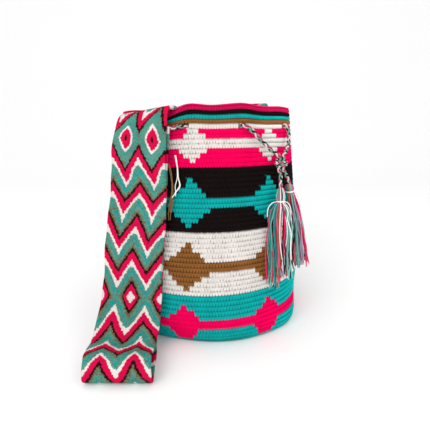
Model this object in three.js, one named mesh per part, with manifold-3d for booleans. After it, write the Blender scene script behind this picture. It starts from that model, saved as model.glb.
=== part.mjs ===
// Crocheted bucket bag with a woven shoulder strap, a braided drawstring and two tassels.
// Millimetres, +Z up. The origin is the centre of the bag's flat base, on the floor.
// Angles round the bag are in degrees from -Y (the front), positive towards +X (the right).

import * as THREE from 'three';
import * as BufferGeometryUtils from 'three/addons/utils/BufferGeometryUtils.js';
import Module from 'manifold-3d';

const wasm = await Module();
wasm.setup();

// ---------- driving dimensions ----------

const rimHeight = 244;        // floor to the top of the crocheted rim
const rimRadius = 97;         // outer radius at the rim
const wall = 4;               // thickness of the crochet
const baseFlatRadius = 109;   // the flat part of the spiral base
const bellyRadius = 117;      // widest point of the bag, just above the base
const bellyHeight = 20;       // of that widest point
const bandHeights = [60, 124, 187, 232];          // the lines between the colour bands
const bandRadii = [115.9, 110, 103.2, 98.6];      // outer radius at those lines

const roundSteps = 60;        // facets round the bag
const cornerSteps = 5;        // facets up the rounded corner of the base
const sideSteps = 9;          // facets up the side

const dipDepth = 12;          // the strap's weight pulls the soft rim down at the left of the front
const dipAngle = -53;
const dipSpread = 26;         // degrees
const dipStart = 150;         // the height below which the wall keeps its level

// Beside the strap the rim alone is pressed down, and on the tassels' side the rows sag a little.
const press = { deep: 5.5, at: -20, spread: 11, from: 222 };
const sag = { deep: 3.4, at: 60, spread: 13, from: 110, full: 176, until: 222 };

// The foot of a soft bag is never round: it is tucked in at the front and stands out beside that.
const feet = [
  { out: -7.6, at: -14, spread: 35, full: 0, until: 34 },
  { out: 5.8, at: 57.7, spread: 16, full: 4, until: 42 },
  { out: -4.7, at: 80, spread: 22, full: 10, until: 90 },
];
const footInner = 80;         // nearer to the axis the base keeps its place

const eyeletHeight = 225.5;   // the open row that the drawstring is threaded through
const eyeletRadius = 99.2;    // outer radius of the bag at that row
const eyeletSlot = { wide: 19, high: 8.4, deep: 14 };
const firstExit = 22.3;       // the drawstring's two ends come out here, at the front
const lastExit = -303;
// Between its ends the drawstring shows outside from one angle of each pair to the other.
const outsideSpans = [
  [-11.5, -23.5],
  [-65, -79.5],
  [-101, -115.5],
  [-137, -151.5],
  [-173, -187.5],
  [-245, -259.5],
];

const cordDiameter = 4.5;
const cordSides = 8;
const cordSteps = 94;
const cordGap = 1.1;          // between the threaded cord and the wall
const cordApproach = 4.8;     // degrees from an eyelet to where the cord lies along the wall

// The knot is an oval round the two cords, which pass it side by side.
const knot = {
  longHalf: 7.8,
  shortHalf: 5.4,
  thick: 2.1,
  height: 8,
  turn: 28.6,                 // degrees from +X of its long side
  place: [76.8, -85.2, 185],
};
const knotSteps = 10;

const strapWidth = 66;
const strapThickness = 4;
const strapSteps = 110;       // facets along the strap
const strapEndAngle = 145;    // one end is sewn here, at the back right, the other end opposite

const seamRadius = 1.5;       // a row of sewing yarn

const headRadius = 5.8;       // a tassel's rounded top, over the cord's end
const neckRadius = 4.6;       // where the tie draws the strands in
const skirtRadius = 12.5;
const neckDrops = { front: 14, rear: 8 };       // from the top of a head down to its tie
const tasselSteps = 20;       // facets round a tassel
const tasselProfileSteps = 14;
const tieHalf = { thick: 1.2, high: 1.9 };
const tieClear = 0.7;         // between the tie and the neck
const tieSides = 8;

const whiteTailDiameter = 2.4;
const tanTailDiameter = 2.4;
const tailSteps = 20;
const tailSides = 8;

// ---------- yarn colours ----------

function yarn(color, roughness) {
  return new THREE.MeshStandardMaterial({ color, roughness, metalness: 0 });
}

const darkBrown = yarn(0x1c0c0c, 0.9);
const pink = yarn(0xf01060, 0.85);
const red = yarn(0xd81850, 0.85);
const teal = yarn(0x12a3a3, 0.85);
const white = yarn(0xe8e4e0, 0.9);
const tan = yarn(0x8a5c30, 0.9);

// ---------- helpers ----------

const radians = THREE.MathUtils.degToRad;
const { smoothstep } = THREE.MathUtils;

function at(x, y, z) {
  return new THREE.Vector3(x, y, z);
}

/** A point at an angle round the bag, a distance from its axis and a height. */
function around(degrees, radius, height) {
  const turn = radians(degrees);
  return at(radius * Math.sin(turn), -radius * Math.cos(turn), height);
}

/** One at an angle round the bag, falling off smoothly to both sides. */
function near(degrees, middle, spread) {
  const away = ((degrees - middle + 900) % 360) - 180;
  return Math.exp(-((away / spread) ** 2));
}

/** The height that a point of the wall sinks to, under the strap and beside the tassels. */
function sunk(degrees, height) {
  const strapShare = smoothstep(height, dipStart, rimHeight);
  const pressShare = smoothstep(height, press.from, rimHeight);
  const sagShare = smoothstep(height, sag.from, sag.full) * (1 - smoothstep(height, sag.full, sag.until));
  return height
    - dipDepth * near(degrees, dipAngle, dipSpread) * strapShare
    - press.deep * near(degrees, press.at, press.spread) * pressShare
    - sag.deep * near(degrees, sag.at, sag.spread) * sagShare;
}

/** How far a point near the foot of the bag stands out from the round. */
function pushedOut(degrees, radius, height) {
  const pushes = feet.map(({ out, at: middle, spread, full, until }) => (
    out * near(degrees, middle, spread) * (1 - smoothstep(height, full, until))));
  return smoothstep(radius, footInner, baseFlatRadius) * pushes.reduce((sum, push) => sum + push);
}

function toManifold(geometry) {
  const bare = geometry.clone();
  bare.deleteAttribute('normal');
  bare.deleteAttribute('uv');
  const merged = BufferGeometryUtils.mergeVertices(bare, 1e-4);
  return new wasm.Manifold(new wasm.Mesh({
    numProp: 3,
    vertProperties: new Float32Array(merged.attributes.position.array),
    triVerts: new Uint32Array(merged.index.array),
  }));
}

function fromManifold(solid) {
  const mesh = solid.getMesh();
  const geometry = new THREE.BufferGeometry();
  geometry.setAttribute('position', new THREE.BufferAttribute(mesh.vertProperties, 3));
  geometry.setIndex(new THREE.BufferAttribute(mesh.triVerts, 1));
  geometry.computeVertexNormals();
  return geometry;
}

function piece(name, geometry, material) {
  const mesh = new THREE.Mesh(geometry, material);
  mesh.name = name;
  return mesh;
}

/** A closed round solid, turned about Z from a profile of radius and height. */
function turned(profile, steps) {
  const geometry = new THREE.LatheGeometry(profile, steps);
  return geometry.rotateX(Math.PI / 2);
}

/** A round cord along a curve. */
function cordAlong(curve, diameter, steps, sides) {
  const section = new THREE.Shape();
  section.absarc(0, 0, diameter / 2, 0, 2 * Math.PI, false);
  return new THREE.ExtrudeGeometry(section, {
    steps,
    curveSegments: sides / 2,      // of each half of the section
    extrudePath: curve,
  });
}

// ---------- bag body ----------

/** The outer profile of the bag, from the middle of the base up to the rim. */
function outerProfile() {
  const corner = new THREE.QuadraticBezierCurve(
    new THREE.Vector2(baseFlatRadius, 0),
    new THREE.Vector2(bellyRadius - 1, 0),
    new THREE.Vector2(bellyRadius, bellyHeight),
  );
  const side = new THREE.SplineCurve([
    new THREE.Vector2(bellyRadius, bellyHeight),
    ...bandHeights.map((height, i) => new THREE.Vector2(bandRadii[i], height)),
    new THREE.Vector2(rimRadius, rimHeight - wall / 2),
  ]);
  return [...corner.getPoints(cornerSteps), ...side.getPoints(sideSteps).slice(1)];
}

/** The bag as one crocheted shell: base, wall and a rounded rim, open at the top. */
function shell() {
  const outer = outerProfile();
  const inner = outer
    .map((point) => new THREE.Vector2(point.x - wall, Math.max(point.y, wall)))
    .filter((point, i, all) => i === 0 || point.y > all[i - 1].y || point.y > wall)
    .reverse();
  const profile = [
    new THREE.Vector2(0, 0),
    ...outer,
    new THREE.Vector2(rimRadius - wall / 2, rimHeight),
    ...inner,
    new THREE.Vector2(0, wall),
  ];
  const geometry = turned(profile, roundSteps);
  const place = geometry.attributes.position;
  for (let i = 0; i < place.count; i += 1) {
    const degrees = THREE.MathUtils.radToDeg(Math.atan2(place.getX(i), -place.getY(i)));
    const radius = Math.hypot(place.getX(i), place.getY(i));
    const height = place.getZ(i);
    const grown = radius > 0 ? 1 + pushedOut(degrees, radius, height) / radius : 1;
    place.setXYZ(i, place.getX(i) * grown, place.getY(i) * grown, sunk(degrees, height));
  }
  return geometry;
}

/** The gap between two posts of the open row that the drawstring passes through. */
function eyelet(degrees) {
  const { wide, high, deep } = eyeletSlot;
  const place = around(degrees, eyeletRadius - wall / 2, sunk(degrees, eyeletHeight));
  return new THREE.CylinderGeometry(high / 2, high / 2, deep, 8)
    .scale(wide / high, 1, 1)
    .rotateZ(radians(degrees))
    .translate(place.x, place.y, place.z);
}

const eyeletAngles = [firstExit, ...outsideSpans.flat(), lastExit];

function bagBody() {
  const cutters = eyeletAngles.map((degrees) => toManifold(eyelet(degrees)));
  const pierced = cutters.reduce((solid, cutter) => solid.subtract(cutter), toManifold(shell()));
  return piece('bag_body', fromManifold(pierced), darkBrown);
}

// ---------- drawstring ----------

/** The part of the drawstring that is threaded in and out of the eyelets. */
function threadedRoute() {
  const outsideRadius = eyeletRadius + cordDiameter / 2 + cordGap;
  const insideRadius = eyeletRadius - wall - cordDiameter / 2 - cordGap;
  const points = [];
  const add = (degrees, radius) => points.push(around(degrees, radius, sunk(degrees, eyeletHeight)));
  eyeletAngles.forEach((degrees, i) => {
    add(degrees, eyeletRadius - wall / 2);
    if (i === eyeletAngles.length - 1) return;
    const next = eyeletAngles[i + 1];
    const radius = i % 2 === 1 ? outsideRadius : insideRadius;
    add(degrees - cordApproach, radius);
    add((degrees + next) / 2, radius);
    add(next + cordApproach, radius);
  });
  return points;
}

// The two free ends hang from their eyelets, go through the knot and end inside the tassels.
const leftEnd = [
  at(76.6, -88.9, 165.6),
  at(76.5, -88, 171.4),
  at(76.2, -87.6, 176),
  at(74.6, -86.4, 183.5),
  at(74.6, -86.4, 195),
  at(66, -89.8, 202),
  at(53.2, -93.2, 213.6),
  at(44.2, -96, 222.2),
  at(39.2, -95.5, 225.5),
];
const rightEnd = [
  at(86.2, -56, 225.5),
  at(88, -56, 219),
  at(88.4, -58.5, 210),
  at(85, -69.5, 202.5),
  at(79, -84, 195),
  at(79, -84, 183.5),
  at(82.4, -80.6, 177.5),
  at(86.4, -77.8, 171),
  at(87, -77.5, 167.6),
];

function drawstring() {
  const route = new THREE.CatmullRomCurve3([...leftEnd, ...threadedRoute(), ...rightEnd]);
  return piece('drawstring', cordAlong(route, cordDiameter, cordSteps, cordSides), pink);
}

/** The turn of cord that ties the two ends together: an oval ring that they pass through. */
function drawstringKnot() {
  const { longHalf, shortHalf, thick, height, turn, place } = knot;
  const outline = new THREE.Shape();
  outline.absellipse(0, 0, longHalf, shortHalf, 0, 2 * Math.PI, false, 0);
  const hole = new THREE.Path();
  hole.absellipse(0, 0, longHalf - thick, shortHalf - thick, 0, 2 * Math.PI, true, 0);
  outline.holes.push(hole);
  const ring = new THREE.ExtrudeGeometry(outline, {
    depth: height,
    bevelEnabled: false,
    curveSegments: knotSteps,
  });
  return piece('drawstring_knot', ring.rotateZ(radians(turn)).translate(...place), teal);
}

// ---------- tassels ----------

/** A bundle of strands from its rounded top down to the cut ends, drawn in at the neck. */
function tasselBundle(name, length, neckDrop, material) {
  const profile = new THREE.SplineCurve([
    new THREE.Vector2(headRadius * 0.75, -1),
    new THREE.Vector2(headRadius, -neckDrop * 0.3),
    new THREE.Vector2(headRadius, -neckDrop * 0.6),
    new THREE.Vector2(neckRadius, -neckDrop),
    new THREE.Vector2(neckRadius * 1.5, -neckDrop - 12),
    new THREE.Vector2(skirtRadius * 0.85, -length * 0.7),
    new THREE.Vector2(skirtRadius, -length + 1),
  ]);
  const outline = [
    new THREE.Vector2(0, 0),
    ...profile.getPoints(tasselProfileSteps),
    new THREE.Vector2(0, -length),
  ];
  return piece(name, turned(outline.reverse(), tasselSteps), material);
}

/** The yarn wound round a tassel's neck. */
function tasselTie(name, neckDrop) {
  const ring = new THREE.EllipseCurve(0, 0, tieHalf.thick, tieHalf.high, Math.PI / 2, 2.5 * Math.PI);
  const profile = ring.getPoints(tieSides)
    .map(({ x, y }) => new THREE.Vector2(x + neckRadius + tieClear + tieHalf.thick, y - neckDrop));
  return piece(name, turned(profile, tasselSteps), white);
}

/** A tassel hanging from a point, leaning outward from the bag as it rests on the belly. */
function tassel(name, top, lean, length, material) {
  const group = new THREE.Group();
  group.add(tasselBundle(`${name}_tassel`, length, neckDrops[name], material));
  group.add(tasselTie(`${name}_tassel_tie`, neckDrops[name]));
  group.position.copy(top);
  group.rotation.set(radians(lean.x), radians(lean.y), 0);
  return group;
}

// ---------- shoulder strap ----------

// Each station of the strap's middle line: where it is, the way its width faces round the
// vertical (turn) and how far its right edge is tipped up (tip), both in degrees.
function station(place, turn, tip) {
  return { place, turn, tip };
}

/** Over the mouth, the strap runs straight from one sewn end to the opposite side of the rim. */
function overMouth(distance, height, tip) {
  const place = around(strapEndAngle, distance, height);
  return station(place, 180 - strapEndAngle, tip);
}

const strapRoute = [
  overMouth(102, 222, 0),
  overMouth(101.2, 236, 0),
  overMouth(99.5, 246, 0),
  overMouth(93.5, 252.5, 0),
  overMouth(86, 249, 0),
  overMouth(80, 239, 0),
  overMouth(71, 226, 0),
  overMouth(57, 213, 0),
  overMouth(35, 203, 0),
  overMouth(8, 199, 1),
  overMouth(-18, 202, 3),
  overMouth(-44, 212, 5),
  overMouth(-66, 224, 6),
  overMouth(-79, 232.6, 6),
  overMouth(-88, 238, 6),
  overMouth(-96, 239, 6),
  station(at(-58.6, -83.6, 237), 34, 6),
  station(at(-60.4, -87, 232), 33, 5),
  station(at(-61.5, -91, 222), 32, 2),
  station(at(-64, -95.5, 197), 29, -2),
  station(at(-66.5, -98, 172), 26, -3),
  station(at(-69.5, -100, 137), 22, -3),
  station(at(-72.5, -103, 103), 20, -3),
  station(at(-76, -107.5, 70), 17, -3),
  station(at(-79, -111.5, 43), 13, -3),
  station(at(-80.5, -119.5, 26), 9, -2),
  station(at(-80, -134, 19.5), 8, 0),
  station(at(-79, -150, 21), 7, 0),
  station(at(-77.3, -163, 23), 4, 0),
  station(at(-76.6, -170.5, 19.5), 2, 0),
  station(at(-76.2, -173.4, 11), 1, 0),
  station(at(-76.2, -170, 4), 1, 0),
  station(at(-77, -160, 2.8), 3, 0),
  station(at(-79, -143, 2.8), 6, 0),
  station(at(-80.5, -129, 5.8), 9, 0),
  station(at(-80, -117, 16), 12, 0),
  station(at(-78, -107, 32), 16, -2),
  station(at(-75.5, -100.5, 52), 20, -3),
  station(at(-72.5, -96, 76), 24, -3),
  station(at(-69.8, -93.4, 104), 27, -3),
  station(at(-67, -90.6, 137), 29, -3),
  station(at(-63.4, -88, 172), 31, -2),
  station(at(-61.2, -86.2, 200), 33, 0),
  station(at(-59.2, -84.4, 217), 35, 4),
  station(at(-58.4, -83.6, 226), 35, 8),
];

/** The strap: a flat woven band, bent along its route with its width turned as it lies. */
function shoulderStrap() {
  const middle = new THREE.CatmullRomCurve3(strapRoute.map((stop) => stop.place), false, 'centripetal');
  const facing = new THREE.CatmullRomCurve3(strapRoute.map(({ turn, tip }) => at(
    Math.cos(radians(turn)) * Math.cos(radians(tip)),
    -Math.sin(radians(turn)) * Math.cos(radians(tip)),
    Math.sin(radians(tip)),
  )), false, 'centripetal');
  const geometry = new THREE.BoxGeometry(strapWidth, strapThickness, 1, 2, 1, strapSteps);
  const corner = geometry.attributes.position;
  for (let i = 0; i < corner.count; i += 1) {
    const along = THREE.MathUtils.clamp(corner.getZ(i) + 0.5, 0, 1);
    const tangent = middle.getTangent(along);
    const across = facing.getPoint(along);
    across.addScaledVector(tangent, -across.dot(tangent)).normalize();
    const inward = new THREE.Vector3().crossVectors(across, tangent);
    const point = middle.getPoint(along)
      .addScaledVector(across, corner.getX(i))
      .addScaledVector(inward, -corner.getY(i));
    corner.setXYZ(i, point.x, point.y, point.z);
  }
  return piece('shoulder_strap', geometry, red);
}

// ---------- sewing and loose yarn ----------

/** The yarn that sews a strap end to the wall: a roll of stitches along the end's edge. */
function strapSeam(name, degrees, radius, height) {
  const place = around(degrees, radius, height);
  const roll = new THREE.CapsuleGeometry(seamRadius, strapWidth - 10, 3, 8)
    .rotateZ(Math.PI / 2)
    .rotateZ(radians(degrees))
    .translate(place.x, place.y, place.z);
  return piece(name, roll, tan);
}

/** Yarn left hanging where the strap was sewn on. */
function yarnTail(name, points, diameter, material) {
  const route = new THREE.CatmullRomCurve3(points);
  return piece(name, cordAlong(route, diameter, tailSteps, tailSides), material);
}

const whiteTailRoute = [
  at(-27, -101.7, 198.2),
  at(-25.9, -102.8, 190),
  at(-25.2, -103.7, 183.5),
  at(-25, -104.6, 175),
  at(-25.5, -105.4, 168.4),
  at(-27.4, -106.8, 163.4),
  at(-30.9, -107.9, 158.4),
];
const tanTailRoute = [
  at(-33.6, -100.2, 190.7),
  at(-31.4, -102.3, 178.5),
  at(-30.3, -103.9, 165),
  at(-31.9, -105.2, 152.6),
  at(-33.3, -105.9, 144),
  at(-34, -106.7, 136),
];

// ---------- the bag ----------

const bag = new THREE.Group();
bag.add(bagBody());
bag.add(drawstring());
bag.add(drawstringKnot());
bag.add(tassel('front', at(76.6, -89, 165), { x: -9.8, y: -1 }, 92, pink));
bag.add(tassel('rear', at(87, -77.5, 167), { x: -2, y: -7.6 }, 92, teal));
bag.add(shoulderStrap());
bag.add(strapSeam('front_strap_seam', strapEndAngle - 180, 101, 228));
bag.add(strapSeam('back_strap_seam', strapEndAngle, 102.2, 220.2));
bag.add(yarnTail('white_yarn_tail', whiteTailRoute, whiteTailDiameter, white));
bag.add(yarnTail('tan_yarn_tail', tanTailRoute, tanTailDiameter, tan));

export default bag;
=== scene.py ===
# %% [markdown]
# # A crocheted bucket bag
# This lesson dresses the plain frame of a crocheted bucket bag: a round cotton bag worked in a
# spiral of single crochet, a woven shoulder strap, a braided drawstring and two tassels.
# The frame already holds every piece at its real size. Here each soft piece gets its yarn.
# Lengths are in metres, +Z is up, and the origin is the centre of the bag's base on the floor.

# %% Load the frame
import math
import random

import bpy
import numpy as np
from mathutils import Matrix, Vector


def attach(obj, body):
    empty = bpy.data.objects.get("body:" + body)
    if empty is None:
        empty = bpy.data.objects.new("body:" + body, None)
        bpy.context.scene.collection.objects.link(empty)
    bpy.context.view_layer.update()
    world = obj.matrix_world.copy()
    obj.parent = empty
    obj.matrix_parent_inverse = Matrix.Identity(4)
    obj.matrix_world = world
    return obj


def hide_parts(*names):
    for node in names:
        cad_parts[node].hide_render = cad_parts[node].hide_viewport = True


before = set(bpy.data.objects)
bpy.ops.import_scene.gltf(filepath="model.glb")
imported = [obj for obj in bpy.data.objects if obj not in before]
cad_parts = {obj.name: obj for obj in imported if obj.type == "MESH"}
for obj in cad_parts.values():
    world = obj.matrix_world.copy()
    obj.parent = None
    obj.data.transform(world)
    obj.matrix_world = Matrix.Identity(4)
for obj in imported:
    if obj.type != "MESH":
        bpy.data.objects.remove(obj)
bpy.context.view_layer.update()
MM = 0.001

# %% [markdown]
# ## The camera
# The camera comes first, because the drawstring is judged by what it sees. It stands a little
# below the rim, close to the bag, and looks slightly down, so the rows at the foot curve more
# than the rows at the rim. It is a plain lens with nothing shifted or blurred.

# %% Camera
LENS = 29.83                     # millimetres, on a sensor 36 mm wide
LOOKS_DOWN = 14.18               # degrees below level
camera_data = bpy.data.cameras.new("camera")
camera_data.lens = LENS
camera_data.sensor_width = 36
camera = bpy.data.objects.new("camera", camera_data)
camera.location = (0.0106, -0.4427, 0.226)
camera.rotation_euler = (math.radians(90 - LOOKS_DOWN), 0, 0)
bpy.context.collection.objects.link(camera)
bpy.context.scene.camera = camera
print("camera at", tuple(round(v, 3) for v in camera.location))

# %% [markdown]
# ## Colours and nodes
# Blender mixes light, not the numbers of a colour picker, so each everyday colour is turned
# into linear light. The nodes of a material or of a tree are all added by one small function,
# which takes values and other nodes' outputs alike.

# %% Colours and nodes
def linear(red, green, blue):
    """An everyday colour, each part from 0 to 255, as the linear light that Blender mixes."""
    parts = [part / 255 for part in (red, green, blue)]
    return tuple(p / 12.92 if p <= 0.04045 else ((p + 0.055) / 1.055) ** 2.4 for p in parts)


def add(tree, kind, sockets=None, **settings):
    """Adds a node, sets its options, and fills its sockets with values or with other sockets."""
    made = tree.nodes.new(kind)
    for key, value in settings.items():
        setattr(made, key, value)
    for key, value in (sockets or {}).items():
        if isinstance(value, bpy.types.NodeSocket):
            tree.links.new(value, made.inputs[key])
        else:
            made.inputs[key].default_value = value
    return made


def maths(tree, operation, *values):
    """A Math node's output."""
    return add(tree, "ShaderNodeMath", dict(enumerate(values)), operation=operation).outputs[0]


print("middle grey as light:", [round(part, 3) for part in linear(128, 128, 128)])

# %% [markdown]
# ## Yarn
# Everything here is spun cotton or acrylic yarn, so one recipe makes every finish. Yarn is
# matt, its fibres catch a little light at the edges (sheen), and its colour is never even:
# fibres lie lighter and darker within a millimetre, and the dye drifts over centimetres.
# Two noises on Object coordinates do that, and the finer one also raises the fibres as bump.

# %% The recipe for yarn
FIBRE_SCALE = 1500.0             # noise cells in a metre
DRIFT_SCALE = 70.0


def yarn_material(name, colour, shade=0.72, sheen=0.12, gloss=0.1, painted_shade=0.0):
    """Spun yarn: colour that varies with the fibres, matt, with a fuzzy edge and raised fibres.
    `shade` is how dark its dark fibres are. The last argument is painted shade: it darkens the
    colour further where the attribute of its name says that a point lies deep between stitches."""
    material = bpy.data.materials.new(name)
    material.use_nodes = True
    tree = material.node_tree
    shader = tree.nodes["Principled BSDF"]
    place = add(tree, "ShaderNodeTexCoord").outputs["Object"]
    fibres, drift = (add(tree, "ShaderNodeTexNoise", {
        "Vector": place, "Scale": scale, "Detail": detail}).outputs[0]
        for scale, detail in ((FIBRE_SCALE, 3.0), (DRIFT_SCALE, 2.0)))
    both = add(tree, "ShaderNodeMix", {0: 0.4, 2: fibres, 3: drift})
    ramp = add(tree, "ShaderNodeValToRGB", {"Fac": both.outputs[0]})
    for mark, share, strength in zip(ramp.color_ramp.elements, (0.3, 0.62), (shade, 1.06)):
        mark.position = share
        mark.color = (*[min(part * strength, 1.0) for part in linear(*colour)], 1)
    bump = add(tree, "ShaderNodeBump", {"Height": fibres, "Strength": 0.35, "Distance": 0.4 * MM})
    # Painted shade: where the per-point attribute says a point lies deep, the colour is multiplied
    # towards dark grey.
    deep = add(tree, "ShaderNodeAttribute", attribute_name="painted_shade").outputs["Fac"]
    painted_shade_mix = add(tree, "ShaderNodeMix", {
        0: maths(tree, "MULTIPLY", deep, painted_shade), 6: ramp.outputs[0], 7: (0.2, 0.2, 0.2, 1)},
        data_type="RGBA", blend_type="MULTIPLY")
    tree.links.new(painted_shade_mix.outputs[2], shader.inputs["Base Color"])
    tree.links.new(bump.outputs[0], shader.inputs["Normal"])
    for label, value in (("Roughness", 0.88), ("Specular IOR Level", gloss),
                         ("Sheen Weight", sheen), ("Sheen Roughness", 0.45)):
        shader.inputs[label].default_value = value
    return material


print("yarn is a noise of", FIBRE_SCALE, "and one of", DRIFT_SCALE, "cells in a metre")

# %% [markdown]
# ## The bag's yarns
# Six yarns make the bag. The rim is worked in a deeper pink than the band below it. The
# seventh stands for the yarns carried inside, where they show through the white cloth.

# %% The bag's yarns
PINK, DARK, TEAL, WHITE, TAN, DEEP_PINK, CARRIED = range(7)
# The last setting of a bag yarn, where given, is how strongly painted shade darkens it between the
# stitches.
bag_yarns = [
    yarn_material("crochet_hot_pink", (246, 2, 98), shade=0.85, sheen=0.0, gloss=0.04, painted_shade=0.1),
    yarn_material("crochet_dark_brown", (22, 8, 7), shade=0.5, sheen=0.0, gloss=0.16, painted_shade=0.9),
    yarn_material("crochet_teal", (4, 186, 184), shade=0.75, sheen=0.03, painted_shade=0.6),
    yarn_material("crochet_warm_white", (237, 232, 228), shade=0.85, sheen=0.05, painted_shade=0.25),
    yarn_material("crochet_tan", (160, 104, 50), sheen=0.05, painted_shade=0.85),
    yarn_material("crochet_deep_pink", (217, 20, 92), shade=0.85, sheen=0.0, gloss=0.04, painted_shade=0.3),
    yarn_material("carried_yarn", (182, 172, 164), shade=0.7, sheen=0.0),
]
print("bag yarns:", [material.name for material in bag_yarns])

# %% [markdown]
# ## Paths
# Cords, strap and strands all follow smooth paths through a few chosen points. The curve that
# passes through its points without loops is the centripetal Catmull-Rom curve. `even` then
# walks along it in equal steps, because yarn has the same thickness all the way.

# %% Paths
def smooth(points, steps=12):
    """A centripetal Catmull-Rom curve through the points, with this many steps between two."""
    points = [np.array(point, float) for point in points]
    padded = [2 * points[0] - points[1], *points, 2 * points[-1] - points[-2]]
    out = []
    for before, start, end, after in zip(padded, padded[1:], padded[2:], padded[3:]):
        gap = [math.sqrt(np.linalg.norm(b - a)) for a, b in
               ((before, start), (start, end), (end, after))]
        middle = gap[1] if gap[1] > 1e-5 else 1.0
        first = gap[0] if gap[0] > 1e-5 else middle
        last = gap[2] if gap[2] > 1e-5 else middle
        leave = (start - before) / first - (end - before) / (first + middle) + (end - start) / middle
        reach = (end - start) / middle - (after - start) / (middle + last) + (after - end) / last
        for step in range(steps):
            t = step / steps
            out.append(
                (2 * t**3 - 3 * t**2 + 1) * start
                + (t**3 - 2 * t**2 + t) * leave * middle
                + (3 * t**2 - 2 * t**3) * end
                + (t**3 - t**2) * reach * middle
            )
    return np.array([*out, points[-1]])


def lengths(path):
    """The distance from the path's start to each of its points."""
    return np.concatenate([[0], np.cumsum(np.linalg.norm(np.diff(path, axis=0), axis=1))])


def even(path, spacing):
    """The same path with points about this far apart."""
    run = lengths(path)
    stops = np.linspace(0, run[-1], max(2, round(run[-1] / spacing) + 1))
    return np.column_stack([np.interp(stops, run, path[:, axis]) for axis in range(3)])


def around(degrees, radius, height):
    """A point at an angle round the bag, 0 at the front (-Y) and positive to the right (+X)."""
    turn = np.radians(degrees)
    return np.stack([radius * np.sin(turn), -radius * np.cos(turn), height + 0 * turn], axis=-1)


trial = smooth([(0, 0, 0), (1, 0, 0), (1, 1, 0)])
print("a bent path of three points:", len(trial), "points,", round(lengths(trial)[-1], 2), "long")

# %% [markdown]
# ## Pieces
# A piece is a mesh whose object stays at the origin. Some points carry attributes, for example
# which yarn they are. Each finished piece rides on the one body, and the plain nodes of the
# frame that it stands for are hidden.

# %% Pieces
def finish_piece(obj, slot_name, *nodes):
    """Every piece rides on the one body and hides the frame nodes it stands for. The name of its
    finish is not used.
    """
    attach(obj, "root")
    if nodes:
        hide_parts(*nodes)
    triangles = sum(len(face.vertices) - 2 for face in obj.data.polygons)
    print(f"{obj.name}: {triangles} triangles")
    return obj


def mesh_object(name, points, faces=(), edges=(), materials=()):
    """An object at the origin, with its place in its mesh."""
    mesh = bpy.data.meshes.new(name)
    mesh.from_pydata([tuple(point) for point in points], list(edges), list(faces))
    for material in materials:
        mesh.materials.append(material)
    obj = bpy.data.objects.new(name, mesh)
    bpy.context.collection.objects.link(obj)
    return obj


def colour_faces(obj, numbers):
    """Gives each face its material by number, and smooths the faces."""
    obj.data.polygons.foreach_set("material_index", numbers)
    obj.data.polygons.foreach_set("use_smooth", [True] * len(numbers))


def per_point(obj, name, kind, values):
    """Writes an attribute on the points of a mesh."""
    field = {"FLOAT": "value", "INT": "value", "FLOAT_VECTOR": "vector"}[kind]
    attribute = obj.data.attributes.new(name, kind, "POINT")
    attribute.data.foreach_set(field, np.asarray(values).ravel())


# %% [markdown]
# ## Node trees
# Geometry Nodes make what repeats. A tree gets a base object of points or lines, and what it
# grows is kept as a plain mesh. Two ends are shared by all trees: one gives each face the
# material of its yarn, and one smooths the faces.

# %% Node trees
def grown(base, tree, settings, name):
    """Runs a node tree on a base object and keeps the result as a plain mesh of its own."""
    modifier = base.modifiers.new(tree.name, "NODES")
    modifier.node_group = tree
    for label, value in settings.items():
        modifier[tree.interface.items_tree[label].identifier] = value
    graph = bpy.context.evaluated_depsgraph_get()
    mesh = bpy.data.meshes.new_from_object(
        base.evaluated_get(graph), preserve_all_data_layers=True, depsgraph=graph)
    base.modifiers.remove(modifier)
    bpy.data.objects.remove(base)
    mesh.name = name
    obj = bpy.data.objects.new(name, mesh)
    bpy.context.collection.objects.link(obj)
    return obj


def new_tree(name, inputs):
    """A geometry node tree with a geometry input and output, and the named inputs."""
    tree = bpy.data.node_groups.new(name, "GeometryNodeTree")
    tree.interface.new_socket("Geometry", in_out="INPUT", socket_type="NodeSocketGeometry")
    for label, kind in inputs.items():
        tree.interface.new_socket(label, in_out="INPUT", socket_type=f"NodeSocket{kind}")
    tree.interface.new_socket("Geometry", in_out="OUTPUT", socket_type="NodeSocketGeometry")
    return tree, add(tree, "NodeGroupInput").outputs


def painted(tree, geometry, materials):
    """Sets each material where the integer attribute `yarn` is its place in the list."""
    yarn = add(tree, "GeometryNodeInputNamedAttribute", {"Name": "yarn"}, data_type="INT")
    for number, material in enumerate(materials):
        chosen = add(tree, "FunctionNodeCompare", {2: yarn.outputs[0], 3: number},
                     data_type="INT", operation="EQUAL")
        geometry = add(tree, "GeometryNodeSetMaterial", {
            "Geometry": geometry, "Selection": chosen.outputs[0], "Material": material}).outputs[0]
    return geometry


def close_tree(tree, geometry):
    """Smooth faces, then the output."""
    smoothed = add(tree, "GeometryNodeSetShadeSmooth", {"Geometry": geometry})
    add(tree, "NodeGroupOutput", {"Geometry": smoothed.outputs[0]})


print("node trees so far:", len(bpy.data.node_groups))

# %% [markdown]
# ## A soft shape
# A crocheted bag is round only on average. The strap's weight pulls the rim down at the left
# and presses it down once more beside the strap, the rows sag a little by the tassels, and the
# foot bulges or tucks in. Each of these is a smooth hill or hollow round the bag, and the frame
# has them too. All of them are added up here, so every row and cord follows the same cloth.

# %% The soft shape
RIM_HEIGHT = 244 * MM
BASE_FLAT = 109 * MM             # radius of the flat part of the base
FOOT_FROM = 80 * MM
DIP = {"deep": 12 * MM, "at": -53.0, "spread": 26.0, "from": 150 * MM}
PRESS = {"deep": 5.5 * MM, "at": -20.0, "spread": 11.0, "from": 222 * MM}
SAG = {"deep": 3.4 * MM, "at": 60.0, "spread": 13.0}
SAG_HEIGHTS = (110 * MM, 176 * MM, 222 * MM)
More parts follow.
